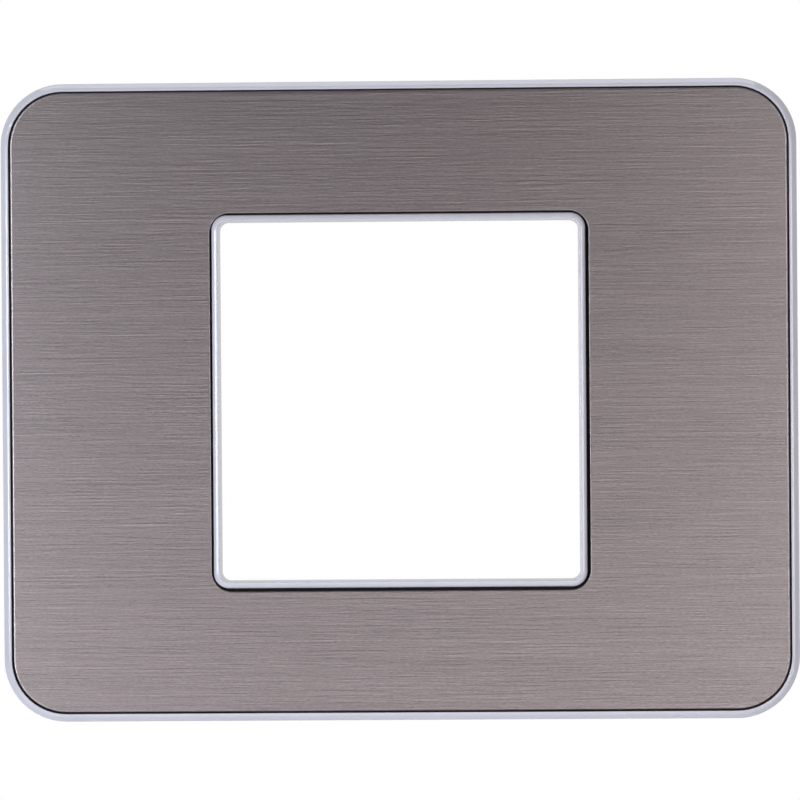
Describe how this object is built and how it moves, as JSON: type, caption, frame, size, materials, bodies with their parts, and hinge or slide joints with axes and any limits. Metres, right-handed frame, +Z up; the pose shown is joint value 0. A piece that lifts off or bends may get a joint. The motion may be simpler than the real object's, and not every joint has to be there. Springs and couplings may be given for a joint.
{
  "type": "switch plate",
  "caption": "Rectangular wall switch plate with a square module window: a brushed steel face bonded into a white moulded frame that snaps onto a mounting frame.",
  "frame": {"origin": "centre of the back edge, on the wall plane, behind the middle of the window", "axes": "+X to the right along the long side seen from the front, +Y into the wall, +Z up; the steel face looks along -Y"},
  "size_m": [0.1, 0.009, 0.0804],
  "materials": {
    "white_moulding": "satin moulded white plastic, slightly cool",
    "black_pad": "matt black bonding pad with a raised edge",
    "brushed_steel": "fine brushing along the plate's long side, warm grey"
  },
  "bodies": {
    "root": {"carrier_frame": "white_moulding", "adhesive_pad": "black_pad", "steel_face": "brushed_steel"}
  },
  "joints": []
}
